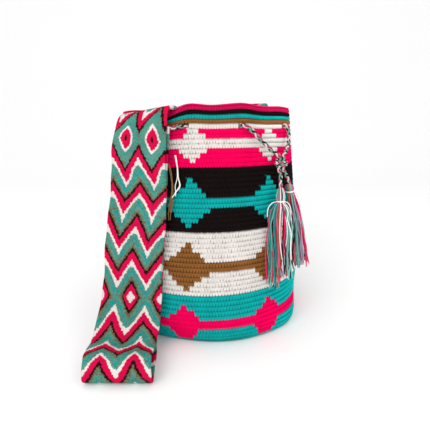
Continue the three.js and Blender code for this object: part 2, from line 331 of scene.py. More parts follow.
# Out, at, spread, full, until: how the foot stands out or is tucked in, and up to what height.
FEET = [(-7.6, -14, 35, 0, 34), (5.8, 57.7, 16, 4, 42), (-4.7, 80, 22, 10, 90)]
# The rim's own waves: at these degrees, this high and this wide.
RIM_WAVES = {24: (2.2, 9), 4: (-1.0, 9), -12: (4.6, 11), 58: (0.5, 12)}
WAVE_FROM = 198 * MM


def near(degrees, middle, spread):
    """One at an angle round the bag, falling off smoothly to both sides."""
    away = (np.asarray(degrees, float) - middle + 900) % 360 - 180
    return np.exp(-((away / spread) ** 2))


def eased(value, low, high):
    """Goes smoothly from 0 at `low` to 1 at `high`."""
    share = np.clip((value - low) / (high - low), 0, 1)
    return share * share * (3 - 2 * share)


def sunk(degrees, height):
    """Where a row sinks to, under the weight of the strap and beside the tassels."""
    strap_share = eased(height, DIP["from"], RIM_HEIGHT)
    press_share = eased(height, PRESS["from"], RIM_HEIGHT)
    foot, middle, top = SAG_HEIGHTS
    sag_share = eased(height, foot, middle) * (1 - eased(height, middle, top))
    return (height - DIP["deep"] * near(degrees, DIP["at"], DIP["spread"]) * strap_share
            - PRESS["deep"] * near(degrees, PRESS["at"], PRESS["spread"]) * press_share
            - SAG["deep"] * near(degrees, SAG["at"], SAG["spread"]) * sag_share)


def pushed_out(degrees, radius, height):
    """The foot of a soft bag is never round: here it stands out, there it is tucked in."""
    pushes = [out * MM * near(degrees, middle, spread) * (1 - eased(height, full * MM, until * MM))
              for out, middle, spread, full, until in FEET]
    return eased(radius, FOOT_FROM, BASE_FLAT) * sum(pushes)


def rim_wave(degrees, height):
    """The rim of a soft bag is never level: it lifts and drops by a millimetre or two."""
    degrees = np.asarray(degrees, float)
    share = np.clip((height - WAVE_FROM) / (RIM_HEIGHT - WAVE_FROM), 0, 1) ** 2.2
    lift = sum(high * near(degrees, at, wide) for at, (high, wide) in RIM_WAVES.items())
    lift = lift + 0.5 * np.sin(np.radians(degrees * 5 + 40)) + 0.4 * np.sin(np.radians(degrees * 9))
    return share * (lift - 0.6) * MM


print("the rim sinks to", round(float(sunk(DIP["at"], RIM_HEIGHT)) / MM, 1), "mm under the strap")

# %% [markdown]
# ## The drawstring
# One braided cord runs in and out of an open row under the rim, and both ends come out at the
# front right, pass a knot and end in a tassel each. A round braid of four yarns has two that
# wind to the left and two that wind to the right, and each goes over one and under the next.
# A node tree does just that: it copies the path four times, moves each copy off the middle by
# a turning offset that swells and shrinks twice a turn, and gives each copy a round section.

# %% The drawstring's route
EYELET_HEIGHT = 225.5 * MM
EYELET_RADIUS = 99.2 * MM
WALL = 4 * MM
CORD_WIDE = 4.5 * MM
CORD_GAP = 1.1 * MM
# Degrees round the bag: where the two ends come out, and where the cord shows on the outside.
first_exit, last_exit = 22.3, -303.0
outside_spans = [(-11.5, -23.5), (-65, -79.5), (-101, -115.5), (-137, -151.5), (-173, -187.5),
                 (-245, -259.5)]
eyelets = [first_exit, *[angle for span in outside_spans for angle in span], last_exit]


def threaded(approach=4.8):
    """The cord's way in and out of the eyelets: inside, through, outside, through, and so on."""
    points = []
    outside = EYELET_RADIUS + CORD_WIDE / 2 + CORD_GAP
    inside = EYELET_RADIUS - WALL - CORD_WIDE / 2 - CORD_GAP
    for number, degrees in enumerate(eyelets):
        stops = [(degrees, EYELET_RADIUS - WALL / 2)]
        if number < len(eyelets) - 1:
            following = eyelets[number + 1]
            radius = outside if number % 2 else inside
            stops += [(degrees - approach, radius), ((degrees + following) / 2, radius),
                      (following + approach, radius)]
        points += [around(at, radius, sunk(at, EYELET_HEIGHT)) for at, radius in stops]
    return points


left_end = [
    (0.077, -0.0931, 0.1414),
    (0.0768, -0.091, 0.1534),
    (0.0766, -0.0889, 0.1656),
    (0.0765, -0.088, 0.1714),
    (0.0762, -0.0876, 0.176),
    (0.0746, -0.0864, 0.1835),
    (0.0746, -0.0864, 0.195),
    (0.066, -0.0898, 0.202),
    (0.0532, -0.0932, 0.2136),
    (0.0442, -0.096, 0.2222),
    (0.0392, -0.0955, 0.2255),
]
right_end = [
    (0.0862, -0.056, 0.2255),
    (0.088, -0.056, 0.219),
    (0.0884, -0.0585, 0.21),
    (0.085, -0.0695, 0.2025),
    (0.079, -0.084, 0.195),
    (0.079, -0.084, 0.1835),
    (0.0824, -0.0806, 0.1775),
    (0.0864, -0.0778, 0.171),
    (0.087, -0.0775, 0.1676),
    (0.0886, -0.0779, 0.1555),
    (0.0902, -0.0783, 0.1432),
]
cord_path = even(smooth([*left_end, *threaded(), *right_end]), 1.3 * MM)

# %% [markdown]
# ## The braid
# The tree needs only the cord's middle line and four sizes. The distance along the line gives
# the turn, and the turn gives each yarn its place round the middle.

# %% A tree that braids four yarns along a path
cord_yarns = [
    yarn_material("cord_black", (28, 16, 18)),
    yarn_material("cord_grey_white", (208, 202, 200), shade=0.7),
    yarn_material("cord_dark_rose", (176, 44, 84)),
    yarn_material("cord_sea_green", (98, 156, 138)),
]


def braid_tree(materials):
    """Four yarns, two winding each way, each over one and under the next."""
    tree, inputs = new_tree("braid", {"Yarn radius": "Float", "Ring radius": "Float",
                                      "Swell": "Float", "Pitch": "Float"})
    line = add(tree, "GeometryNodeMeshToCurve", {"Mesh": inputs["Geometry"]}).outputs[0]
    run = add(tree, "GeometryNodeSplineParameter").outputs["Length"]
    turn = maths(tree, "MULTIPLY", maths(tree, "DIVIDE", run, inputs["Pitch"]), 2 * math.pi)
    wave = maths(tree, "SINE", maths(tree, "MULTIPLY", turn, 2.0))
    normal = add(tree, "GeometryNodeInputNormal").outputs[0]
    along = add(tree, "GeometryNodeInputTangent").outputs[0]
    side = add(tree, "ShaderNodeVectorMath", {0: normal, 1: along}, operation="CROSS_PRODUCT")
    ring = add(tree, "GeometryNodeCurvePrimitiveCircle",
               {"Resolution": 6, "Radius": inputs["Yarn radius"]}).outputs[0]
    joined = add(tree, "GeometryNodeJoinGeometry")
    for number, material in enumerate(materials):
        way = 1.0 if number % 2 == 0 else -1.0
        angle = maths(tree, "MULTIPLY_ADD", turn, way, number * math.pi / 2)
        radius = maths(tree, "MULTIPLY_ADD", maths(tree, "MULTIPLY", wave, way),
                       inputs["Swell"], inputs["Ring radius"])
        legs = []
        for axis, wave_kind in ((normal, "COSINE"), (side.outputs[0], "SINE")):
            reach = maths(tree, "MULTIPLY", maths(tree, wave_kind, angle), radius)
            legs.append(add(tree, "ShaderNodeVectorMath", {0: axis, "Scale": reach},
                            operation="SCALE").outputs[0])
        offset = add(tree, "ShaderNodeVectorMath", {0: legs[0], 1: legs[1]}, operation="ADD")
        moved = add(tree, "GeometryNodeSetPosition", {"Geometry": line, "Offset": offset.outputs[0]})
        tube = add(tree, "GeometryNodeCurveToMesh", {
            "Curve": moved.outputs[0], "Profile Curve": ring, "Fill Caps": True})
        tube = add(tree, "GeometryNodeSetMaterial", {
            "Geometry": tube.outputs[0], "Material": material})
        tree.links.new(tube.outputs[0], joined.inputs[0])
    real = add(tree, "GeometryNodeRealizeInstances", {"Geometry": joined.outputs[0]})
    close_tree(tree, real.outputs[0])
    return tree


def line_object(name, paths):
    """Open lines of edges, one for each path, as the base that a tree makes into tubes."""
    points = np.concatenate(paths)
    starts = np.cumsum([0, *[len(path) for path in paths]])
    edges = [(i, i + 1) for a, b in zip(starts, starts[1:]) for i in range(a, b - 1)]
    return mesh_object(name, points, edges=edges)


braid = braid_tree(cord_yarns)
braid_size = {"Yarn radius": 1.0 * MM, "Ring radius": 1.0 * MM, "Swell": 0.33 * MM,
              "Pitch": 15 * MM}
drawstring = grown(line_object("cord_line", [cord_path]), braid, braid_size, "braided_drawstring")
finish_piece(drawstring, "braided_cord", "drawstring")

# %% [markdown]
# ## The knot
# The two ends are tied together by a turn of the same cord, so the knot is the braid again,
# wound two and a half times round the pair in an oval.

# %% The knot
KNOT = Vector((0.0768, -0.0852, 0.189))
KNOT_TURN = math.radians(28.6)   # the pair of cords lies this much askew to the front


def knot_path(turns=2.5, long=5.9 * MM, short=3.6 * MM, tall=6.4 * MM):
    """An oval winding down the pair of cords, whose ends tuck in."""
    path = []
    for share in np.linspace(0, 1, 90):
        angle = share * turns * 2 * math.pi
        tuck = 0.72 + 0.28 * math.sin(math.pi * share) ** 0.4
        x = long * tuck * math.cos(angle)
        y = short * tuck * math.sin(angle)
        path.append((KNOT.x + x * math.cos(KNOT_TURN) - y * math.sin(KNOT_TURN),
                     KNOT.y + x * math.sin(KNOT_TURN) + y * math.cos(KNOT_TURN),
                     KNOT.z + tall * (0.5 - share) + 0.8 * MM * math.sin(angle)))
    return np.array(path)


knot_size = {"Yarn radius": 0.78 * MM, "Ring radius": 0.74 * MM, "Swell": 0.26 * MM,
             "Pitch": 11 * MM}
knot = grown(line_object("knot_line", [even(knot_path(), 1.2 * MM)]), braid, knot_size, "cord_knot")
finish_piece(knot, "braided_cord", "drawstring_knot")

# %% [markdown]
# ## Yarns for the tassels
# A tassel mixes many yarns: the bag's own colours and a few paler ones. Each yarn has a share,
# which is how often it comes up where a strand's colour is left to chance.

# %% Tassel yarns
tassel_yarns = [
    yarn_material("tassel_pink", (232, 30, 96)),
    yarn_material("tassel_rose", (205, 92, 124)),
    yarn_material("tassel_teal", (24, 140, 134)),
    yarn_material("tassel_pale_teal", (120, 184, 174)),
    yarn_material("tassel_white", (234, 230, 230), shade=0.85),
    yarn_material("tassel_lilac_grey", (172, 158, 178)),
    yarn_material("tassel_black", (34, 22, 26)),
    yarn_material("tassel_tan", (140, 108, 66)),
    yarn_material("tassel_coral", (214, 70, 78)),
]
strand_shares = [16, 12, 12, 16, 15, 10, 11, 5, 8]
print(len(tassel_yarns), "yarns for the tassels")

# %% [markdown]
# ## Lines into yarns
# A loose yarn is one line with a round section. The tree does that to any number of lines at
# once, and each line's `yarn` number picks its colour. A strand that hangs beside the bag has
# to stay outside its wall, so its points are moved out to a simple outline of the bag.

# %% Lines into yarns
# Height and radius of the bag in millimetres, from the belly up, and near the floor.
SIDE_POINTS = [(20, 117), (60, 115.9), (124, 110), (187, 103.2), (232, 98.6), (244, 97)]
FOOT_POINTS = [(0, 112), (5, 114)]


def bag_radius(height):
    """The bag's outer radius at a height, straight between a few places."""
    heights, radii = zip(*FOOT_POINTS, *SIDE_POINTS)
    return np.interp(height / MM, heights, radii) * MM


def tube_tree(name, materials, sides):
    """Lines to round yarns, coloured by their `yarn` number."""
    tree, inputs = new_tree(name, {"Radius": "Float"})
    line = add(tree, "GeometryNodeMeshToCurve", {"Mesh": inputs["Geometry"]}).outputs[0]
    ring = add(tree, "GeometryNodeCurvePrimitiveCircle",
               {"Resolution": sides, "Radius": inputs["Radius"]}).outputs[0]
    tube = add(tree, "GeometryNodeCurveToMesh", {
        "Curve": line, "Profile Curve": ring, "Fill Caps": True}).outputs[0]
    real = add(tree, "GeometryNodeRealizeInstances", {"Geometry": tube}).outputs[0]
    close_tree(tree, painted(tree, real, materials))
    return tree


def yarns(name, paths, colours, materials, radius, sides=5):
    """A bundle of yarns as one mesh."""
    base = line_object(f"{name}_lines", paths)
    per_point(base, "yarn", "INT", [c for path, c in zip(paths, colours) for _ in path])
    return grown(base, tube_tree(f"{name}_tree", materials, sides), {"Radius": radius}, name)


def kept_off_bag(point, margin):
    """Moves a point straight out from the bag's axis until it clears the wall."""
    reach = math.hypot(point[0], point[1])
    need = bag_radius(max(point[2], 0)) + margin
    if reach < need:
        point[:2] *= need / reach
    return point


print("the bag is", round(2 * float(bag_radius(0.1)) / MM), "mm wide at half its height")

# %% [markdown]
# ## The strands of a tassel
# A tassel is a bundle of yarn laid over the cord's end, folded down and tied at the neck. So
# each strand is one line: it starts under the top, comes over the rounded head, is drawn in at
# the neck and then hangs free. Strands differ in length and lean by chance, with a fixed seed.

# %% The strands
def leaned(lean):
    """The turn of a tassel that leans this many degrees round X and round Y."""
    return (Matrix.Rotation(math.radians(lean[0]), 3, "X")
            @ Matrix.Rotation(math.radians(lean[1]), 3, "Y"))


SUNFLOWER_ANGLE = 2.399963       # from one strand to the next, so that they fill a disc evenly
CLEAR = 0.8 * MM                 # between a strand's middle and the wall
# The head: how far down towards the neck, and the radius there in millimetres.
TASSEL_HEAD = [(0.0, 1.4), (0.15, 2.6), (0.4, 3.7), (0.7, 4.2), (0.9, 3.7), (1.0, 3.3), (1.1, 3.9)]


def tassel_paths(top, lean, length, wide, drop, count, seed, long_side=None):
    """The strands of one tassel, from the top of its head to their cut ends. Towards its long
    side some strands are longer, and such a tassel opens at once below its neck."""
    rng = random.Random(seed)
    opening = 9 if long_side is not None else 3.2
    turn = leaned(lean)
    paths, angles = [], []
    for number in range(count):
        angle = number * SUNFLOWER_ANGLE + rng.uniform(-0.2, 0.2)
        depth = math.sqrt((number + 0.5) / count)
        own = length * (rng.uniform(0.86, 1.0) if rng.random() < 0.8 else rng.uniform(0.72, 0.88))
        if long_side is not None and math.cos(angle - long_side) > 0.75 and rng.random() < 0.6:
            own = length * rng.uniform(1.04, 1.13)
        loose = 1 + (0.4 * rng.random() if rng.random() < 0.3 else 0)
        points = []
        for down, r in TASSEL_HEAD:
            swell = 1 + (loose - 1) * math.sin(math.pi * min(down, 1))
            points.append((r * swell * depth * MM * math.cos(angle),
                           r * swell * depth * MM * math.sin(angle), -down * drop))
        start = TASSEL_HEAD[-1][0] * drop
        spread = wide * depth * rng.uniform(0.72, 1.1)
        bend = [rng.gauss(0, 1.2) * MM for _ in range(9)]
        for stage, share in enumerate((0.07, 0.16, 0.3, 0.52, 0.76, 1.0)):
            opened = 1 - math.exp(-opening * share)
            reach = 4.4 * MM * depth * (1 - opened) + spread * opened
            points.append((reach * math.cos(angle) + bend[stage] * min(1, 2.2 * share),
                           reach * math.sin(angle) + bend[stage + 3] * min(1, 2.2 * share),
                           -(start + (own - start) * share)))
        path = [np.array(turn @ Vector(point) + Vector(top)) for point in smooth(points, 3)]
        paths.append(np.array([kept_off_bag(point, CLEAR) for point in path]))
        angles.append(angle % (2 * math.pi))
    return paths, angles


print("a tassel's head is", 2 * max(r for _, r in TASSEL_HEAD), "mm wide over its strands")

# %% [markdown]
# ## Two tassels
# One tassel hangs in front and opens at once below its neck, and the other is slimmer and hangs
# behind it at the side. A yarn is many strands, so neighbours mostly share a colour.

# %% The tassels
def tassel(name, top, lean, length, wide, drop, count, seed, node, clumps, long_side=None):
    """One tassel. The yarn numbers in `clumps` go round it, a few strands for each."""
    rng = random.Random(seed + 1)
    paths, angles = tassel_paths(top, lean, length, wide, drop, count, seed, long_side)
    colours = []
    for angle in angles:
        shared = clumps[int(angle / (2 * math.pi) * len(clumps)) % len(clumps)]
        chance = rng.choices(range(len(tassel_yarns)), strand_shares)[0]
        colours.append(shared if rng.random() < 0.72 else chance)
    piece = yarns(name, paths, colours, tassel_yarns, 0.6 * MM)
    return finish_piece(piece, "tassel_yarn", node)


FRONT_TOP, FRONT_LEAN = (0.0766, -0.089, 0.165), (-9.8, -1.0)
REAR_TOP, REAR_LEAN = (0.087, -0.0775, 0.167), (-2.0, -7.6)
FRONT_DROP, REAR_DROP = 14 * MM, 8 * MM      # from the top down to the neck
TASSEL_LONG, TASSEL_WIDE = 92 * MM, 13 * MM
front_clumps = [5, 3, 6, 1, 2, 4, 8, 0, 5, 2, 6, 3, 0, 0, 2, 3, 8, 4, 6, 4, 3, 4, 6, 1]
rear_clumps = [5, 5, 3, 4, 0, 6, 2, 8, 7, 3, 5, 1, 4, 6, 2, 8, 0, 6, 3, 4, 5, 0, 0, 5]
front_tassel = tassel("front_tassel_strands", FRONT_TOP, FRONT_LEAN, TASSEL_LONG, TASSEL_WIDE,
                      FRONT_DROP, 150, 11, "front_tassel", front_clumps,
                      long_side=math.radians(190))
rear_tassel = tassel("rear_tassel_strands", REAR_TOP, REAR_LEAN, TASSEL_LONG, TASSEL_WIDE,
                     REAR_DROP, 120, 23, "rear_tassel", rear_clumps)

# %% [markdown]
# ## The ties
# A white yarn is wound round each neck, and its ends are left hanging over the skirt. It is a
# helix and a few lines, made into yarns by the same tree.

# %% The ties round the tassels' necks
white_yarn = yarn_material("tie_white", (240, 236, 232), shade=0.88)


def tie(name, top, lean, node, drop, ends, radius=4.1 * MM, winds=2):
    """White yarn wound round the neck, with loose ends that hang over the skirt."""
    turn = leaned(lean)
    wound = []
    for share in np.linspace(0, 1, 26 * winds):
        angle = share * winds * 2 * math.pi
        height = -drop + 1.1 * MM * (0.5 - share)
        wound.append((radius * math.cos(angle), radius * math.sin(angle), height))
    lines = [wound]
    for degrees, reach, fall in ends:
        side = Vector((math.cos(math.radians(degrees)), math.sin(math.radians(degrees)), 0))
        lines.append(smooth([side * (radius + reach * out) + Vector((0, 0, -drop - fall * down))
                             for out, down in ((0, 0), (0.5, 0.1), (0.9, 0.45), (1, 1))]))
    paths = [np.array([kept_off_bag(np.array(turn @ Vector(point) + Vector(top)), CLEAR)
                       for point in line]) for line in lines]
    piece = yarns(name, paths, [0] * len(paths), [white_yarn], 0.5 * MM, sides=6)
    return finish_piece(piece, "tie_yarn", node)


front_tie = tie("front_tie_yarn", FRONT_TOP, FRONT_LEAN, "front_tassel_tie", FRONT_DROP,
                ends=[(188, 10 * MM, 15 * MM), (330, 6.5 * MM, 13 * MM)])
rear_tie = tie("rear_tie_yarn", REAR_TOP, REAR_LEAN, "rear_tassel_tie", REAR_DROP,
               ends=[(318, 7 * MM, 16 * MM)])

# %% [markdown]

# %% [markdown]
# ## Loose yarn
# Where the strap was sewn on, ends of yarn were left hanging: a white one that loops back on
# itself and a thinner tan bundle.

# %% Loose yarn
white_tail_path = smooth([
    (-0.027, -0.1017, 0.1982),
    (-0.0259, -0.1028, 0.19),
    (-0.0252, -0.1037, 0.1835),
    (-0.025, -0.1046, 0.175),
    (-0.0255, -0.1054, 0.1684),
    (-0.0274, -0.1068, 0.1634),
    (-0.0309, -0.1079, 0.1584),
])
tan_tail_path = smooth([
    (-0.0336, -0.1002, 0.1907),
    (-0.0314, -0.1023, 0.1785),
    (-0.0303, -0.1039, 0.165),
    (-0.0319, -0.1052, 0.1526),
    (-0.0333, -0.1059, 0.144),
    (-0.034, -0.1067, 0.136),
])


def yarn_tail(name, path, parts, colour, yarn_wide, node, slot_name):
    """A few yarns along one path. Each part: from and to (shares), and how far across it lies at
    its start, its middle and its end, in millimetres."""
    bundle = []
    for start, end, *across in parts:
        first, last = (round(share * (len(path) - 1)) for share in (start, end))
        share = np.linspace(0, 1, last - first + 1)
        swing = np.interp(eased(share, 0, 0.5) + eased(share, 0.5, 1), (0, 1, 2), across)
        bundle.append(path[first:last + 1] + np.array([[1.0, -0.3, 0.1]]) * swing[:, None] * MM)
    material = yarn_material(f"{name}_yarn", colour, shade=0.85)
    piece = yarns(name, bundle, [0] * len(bundle), [material], yarn_wide / 2, sides=6)
    finish_piece(piece, slot_name, node)


yarn_tail("white_tail", white_tail_path,
          [(0, 0.45, -0.4, 0.1, -0.3), (0, 0.45, 0.4, 0.5, 0.5), (0.42, 0.86, -0.3, -2.2, 0.1),
           (0.42, 0.86, 0.5, 2.6, 0.5), (0.4, 0.84, 0.2, 1.9, 0.2), (0.82, 1, 0.2, 0.3, 0.2),
           (0.82, 0.94, 0.4, 1.2, 2)],
          (238, 232, 226), 0.9 * MM, "white_yarn_tail", "loose_white_yarn")
yarn_tail("tan_tail", tan_tail_path,
          [(0, 0.86, -0.6, -0.4, -1.6), (0, 1, 0, 0.4, 0.9), (0.06, 0.8, 0.6, 0.4, -0.4),
           (0.3, 1, -0.6, -1.7, -0.8), (0.4, 0.84, 0.2, 1.6, 1.2)],
          (140, 104, 66), 0.8 * MM, "tan_yarn_tail", "loose_tan_yarn")

# %% [markdown]
# ## The rows of the bag
# The real bag is one spiral of single crochet. It starts at the middle of the base, grows
# until the round is 240 stitches, and then goes straight up. A row is 4 to 5.5 mm high.
# So first comes the profile from the middle of the base up to the rim, then a list of rows
# on it. Each row knows its band, because the band decides the colours.

# %% The profile
def profile():
    """Points of the outer surface from the middle of the base to the rim: radius and height."""
    flat = [(radius, 0.0) for radius in np.linspace(0, BASE_FLAT, 22, endpoint=False)]
    side = smooth([(radius * MM, height * MM, 0) for height, radius in SIDE_POINTS])[:, :2]
    belly, belly_height = side[0]
    share = np.linspace(0, 1, 24, endpoint=False)[:, None]
    start, bend, end = (np.array(p) for p in
                        ((BASE_FLAT, 0), (belly - MM, 0), (belly, belly_height)))
    corner = (1 - share) ** 2 * start + 2 * share * (1 - share) * bend + share**2 * end
    return np.concatenate([flat, corner, side])


outer = profile()
outer_run = lengths(outer)


def on_profile(run):
    """Radius, height and the direction along the wall, at a distance along the profile."""
    def at(distance):
        return np.array([np.interp(distance, outer_run, outer[:, axis]) for axis in (0, 1)])

    slope = at(run + 2 * MM) - at(run - 2 * MM)
    radius, height = at(run)
    return radius, height, slope / np.linalg.norm(slope)


def run_at(height):
    """The distance along the profile at a height above the floor."""
    wall_part = outer[:, 1] > 0
    return float(np.interp(height, outer[wall_part, 1], outer_run[wall_part]))


print(f"from the middle of the base to the rim: {outer_run[-1]:.3f} m")


# %% The rows
STITCHES = 240
MOTIF = 30                       # stitches from one diamond to the next
DIAMOND = {                      # half widths in stitches, from the top row down
    "dark": [0, 0, 1, 2, 4, 6, 15, 15, 7, 5, 3, 1, 0],
    "white": [0, 0, 1, 2, 4, 6, 15, 15, 7, 5, 3, 1, 0],
    "teal": [0, 0, 1, 3, 5, 15, 15, 5, 4, 3],
    "pink": [2, 4, 15, 15, 5, 3, 1, 0],
}
GROUND = {"dark": DARK, "white": WHITE, "teal": TEAL, "pink": PINK}
FIGURE = {"dark": TEAL, "white": TAN, "teal": PINK, "pink": WHITE}


# Band, top and bottom in millimetres, rows. The teal band's rows are lower at its bar.
SIDE_BANDS = [("rim", 244, 232.2, 3), ("tan", 232.2, 227.7, 1), ("eyelets", 227.7, 223.2, 1),
              ("pink", 223.2, 187.2, 8), ("dark", 187.2, 124, 13), ("white", 124, 59.2, 13),
              ("teal", 59.2, 31.8, 5), ("teal", 31.8, 20.9, 2), ("teal", 20.9, 4.8, 3)]


def side_rows():
    """The rows of the side from the rim down, with their band and their place in it."""
    rows, placed = [], {}
    for band, top, bottom, count in SIDE_BANDS:
        lines = np.linspace(run_at(top * MM), run_at(bottom * MM), count + 1)
        for upper, lower in zip(lines, lines[1:]):
            number = placed.get(band, 0)
            placed[band] = number + 1
            rows.append({"from": lower, "to": upper, "band": band, "number": number,
                         "count": STITCHES})
    return rows


def base_rows(edge, tall=4.9 * MM, wide=2.95 * MM):
    """The rows of the base, from its edge to its middle, with fewer and fewer stitches."""
    lines = np.linspace(edge, 0, round(edge / tall) + 1)
    rows = []
    for upper, lower in zip(lines, lines[1:]):
        radius = on_profile((upper + lower) / 2)[0]
        count = max(6, min(STITCHES, round(2 * math.pi * radius / wide)))
        rows.append({"from": lower, "to": upper, "band": "base", "number": 0, "count": count})
    return rows


rows = side_rows()
rows += base_rows(rows[-1]["from"])
for level, row in enumerate(rows):
    row["level"] = level
print(len(rows), "rows,", sum(row["count"] for row in rows), "stitches")

# %% [markdown]
# ## The pattern
# The diamonds are counted, not drawn: each row has a number of stitches in the second colour.
# A half width of 15 stitches fills the whole row, and that makes the bar between diamonds.
# There are eight diamonds in a round. The spiral leans, so each band's diamonds sit a little
# further to the left than those of the band above.

# %% The colour of a stitch
EYELET_HALF = 2.7                # degrees from an eyelet's middle to its edge


def motif_angle(height):
    """Where one of the diamonds of a row is centred, in degrees."""
    return float(np.interp(height / MM, (26, 88, 160, 209), (-10.2, -8.0, -6.9, -5.0)))


def pulled(degrees):
    """The weight of strap and tassels pulls the stitches of the front a little wider."""
    return degrees + 1.0 * np.sin(np.radians(2 * (np.asarray(degrees, float) - 16)))


def colour_of(row, column):
    """The yarn of one stitch of a row."""
    band, number = row["band"], row["number"]
    if band == "rim":
        return (DEEP_PINK, DARK, TEAL)[number]
    if band in ("tan", "eyelets", "base"):
        return {"tan": TAN, "eyelets": WHITE, "base": TEAL}[band]
    half = DIAMOND[band][number]
    height = on_profile((row["from"] + row["to"]) / 2)[1]
    centre = round(motif_angle(height) / 360 * STITCHES - 0.5 * (row["level"] % 2))
    away = abs((column + 0.5 - centre + MOTIF / 2) % MOTIF - MOTIF / 2)
    return FIGURE[band] if away < half else GROUND[band]


def stitch_angle(row, column):
    """The middle of a stitch. Every second row is half a stitch further on."""
    return float(pulled((column + 0.5 + 0.5 * (row["level"] % 2)) * 360 / row["count"]))


def is_eyelet(row, column):
    """The cord passes through gaps where a few stitches of the open row are left out."""
    if row["band"] != "eyelets":
        return False
    angle = stitch_angle(row, column)
    return any(abs((angle - eyelet + 180) % 360 - 180) < EYELET_HALF for eyelet in eyelets)


gaps = sum(is_eyelet(row, column) for row in rows for column in range(row["count"]))
print(len(eyelets), "eyelets leave out", gaps, "stitches")


# %% [markdown]
# ## One crochet stitch
# Seen from the front, a single crochet stitch is a V: two plump legs that meet at the foot.
# The legs lean a little, because the spiral is worked one way. Each leg is two rings of five
# points between two tips, so a stitch has only 40 faces and fifteen thousand of them stay light.
# The base rests on the floor, so its stitches have rings of three points.

# %% The stitch that is repeated
def leg_shape(side, sides=5):
    """One leg of the V in a box of one by one. Its rings are (height, across, out, half width,
    half depth). It also gives how deep each point lies, for painted shade on the yarn there."""
    rings = [(-0.52, 0.13, 0.10, 0.17, 0.34), (0.10, 0.27, 0.10, 0.21, 0.42)]
    tips = [(-0.74, 0.07, -0.05), (0.50, 0.31, -0.36)]
    # Painted shade: the tips lie deepest between rows, so the yarn there is painted darkest.
    painted_shades = [0.3, *[0.2] * sides, *[0.0] * sides, 1.0]
    lean = 0.08
    points = [(side * tips[0][1] + lean * tips[0][0], tips[0][0], tips[0][2])]
    for y, x, z, wide, deep in rings:
        for number in range(sides):
            angle = math.radians(90 + number * 360 / sides)
            points.append((side * x + lean * y + wide * math.cos(angle), y,
                           z + deep * math.sin(angle)))
    points.append((side * tips[1][1] + lean * tips[1][0], tips[1][0], tips[1][2]))
    first, second, last = 1, 1 + sides, 1 + 2 * sides
    faces = []
    for number in range(sides):
        following = (number + 1) % sides
        faces.append((0, first + number, first + following))
        faces.append((first + number, second + number, second + following, first + following))
        faces.append((second + number, last, second + following))
    return points, faces, painted_shades


def template(name, sides_of_v, sides=5):
    """A stitch made of one or more legs."""
    points, faces, painted_shades = [], [], []
    for side in sides_of_v:
        own_points, own_faces, own_painted_shades = leg_shape(side, sides)
        faces += [tuple(corner + len(points) for corner in face) for face in own_faces]
        points += own_points
        painted_shades += own_painted_shades
    made = mesh_object(name, points, faces)
    # How deep each point lies, for the painted shade of its yarn.
    per_point(made, "painted_shade", "FLOAT", painted_shades)
    return made


stitch = template("stitch", (-1, 1))
base_stitch = template("base_stitch", (-1, 1), sides=3)
print("one stitch:", sum(len(face.vertices) - 2 for face in stitch.data.polygons), "triangles")

# %% [markdown]
# ## A tree that crochets
# The tree gets points that know which way is out and up, how wide and tall their stitch is and
# which yarn it is made of. It sets a stitch on each, turned to match, with a little chance in
# its lean and size, because hands are not machines.

# %% The crochet tree
def crochet_tree(materials):
    """Sets a stitch on every point."""
    tree, inputs = new_tree("crochet", {"Stitch": "Object", "Depth": "Float",
                                        "Unevenness": "Float", "Seed": "Int"})

    def named(label, kind="FLOAT_VECTOR"):
        return add(tree, "GeometryNodeInputNamedAttribute", {"Name": label},
                   data_type=kind).outputs[0]

    facing = add(tree, "FunctionNodeAxesToRotation", {
        "Primary Axis": named("outward"), "Secondary Axis": named("upward")},
        primary_axis="Z", secondary_axis="Y").outputs[0]
    chance = add(tree, "FunctionNodeRandomValue", {
        2: maths(tree, "MULTIPLY", inputs["Unevenness"], -1.0), 3: inputs["Unevenness"],
        "Seed": inputs["Seed"]}, data_type="FLOAT").outputs[1]
    lean = add(tree, "ShaderNodeCombineXYZ", {"Z": chance})
    lean = add(tree, "FunctionNodeEulerToRotation", {0: lean.outputs[0]})
    turned = add(tree, "FunctionNodeRotateRotation", {0: facing, 1: lean.outputs[0]},
                 rotation_space="LOCAL").outputs[0]
    deep = maths(tree, "MULTIPLY", inputs["Depth"], maths(tree, "MULTIPLY_ADD", chance, 0.6, 1.0))
    scale = add(tree, "ShaderNodeCombineXYZ", {
        "X": named("wide", "FLOAT"), "Y": named("tall", "FLOAT"), "Z": deep}).outputs[0]
    shape = add(tree, "GeometryNodeObjectInfo", {"Object": inputs["Stitch"]}).outputs["Geometry"]
    placed = add(tree, "GeometryNodeInstanceOnPoints", {
        "Points": inputs["Geometry"], "Instance": shape, "Rotation": turned, "Scale": scale})
    real = add(tree, "GeometryNodeRealizeInstances", {"Geometry": placed.outputs[0]}).outputs[0]
    close_tree(tree, painted(tree, real, materials))
    return tree


crochet = crochet_tree(bag_yarns)
print("the crochet tree has", len(crochet.nodes), "nodes")

# %% [markdown]
# ## Setting out the stitches
# Each stitch needs a place just under the outer surface, the ways out and up along the soft
# wall, and its size. The rows give all of it: a stitch is as tall as its row, and as wide as
# its share of the round.

# %% Points for the stitches
STITCH_DEEP = 2.3 * MM
STITCH_SEAT = 1.25 * MM          # how far under the outer surface a stitch's middle sits


def wall_point(degrees, run, inset):
    """A point under the outer surface, with the soft rim's dip and waves."""
    radius, height, slope = on_profile(run)
    out_radius, out_height = slope[1], -slope[0]
    radius, height = radius - inset * out_radius, height - inset * out_height
    radius = radius + pushed_out(degrees, radius, height)
    place = around(degrees, radius, sunk(degrees, height) + rim_wave(degrees, height))
    out = around(degrees, out_radius, out_height)
    up = around(degrees, slope[0], slope[1])
    return place, out, up


STITCH_FIELDS = {"outward": "FLOAT_VECTOR", "upward": "FLOAT_VECTOR", "wide": "FLOAT",
                 "tall": "FLOAT", "yarn": "INT"}


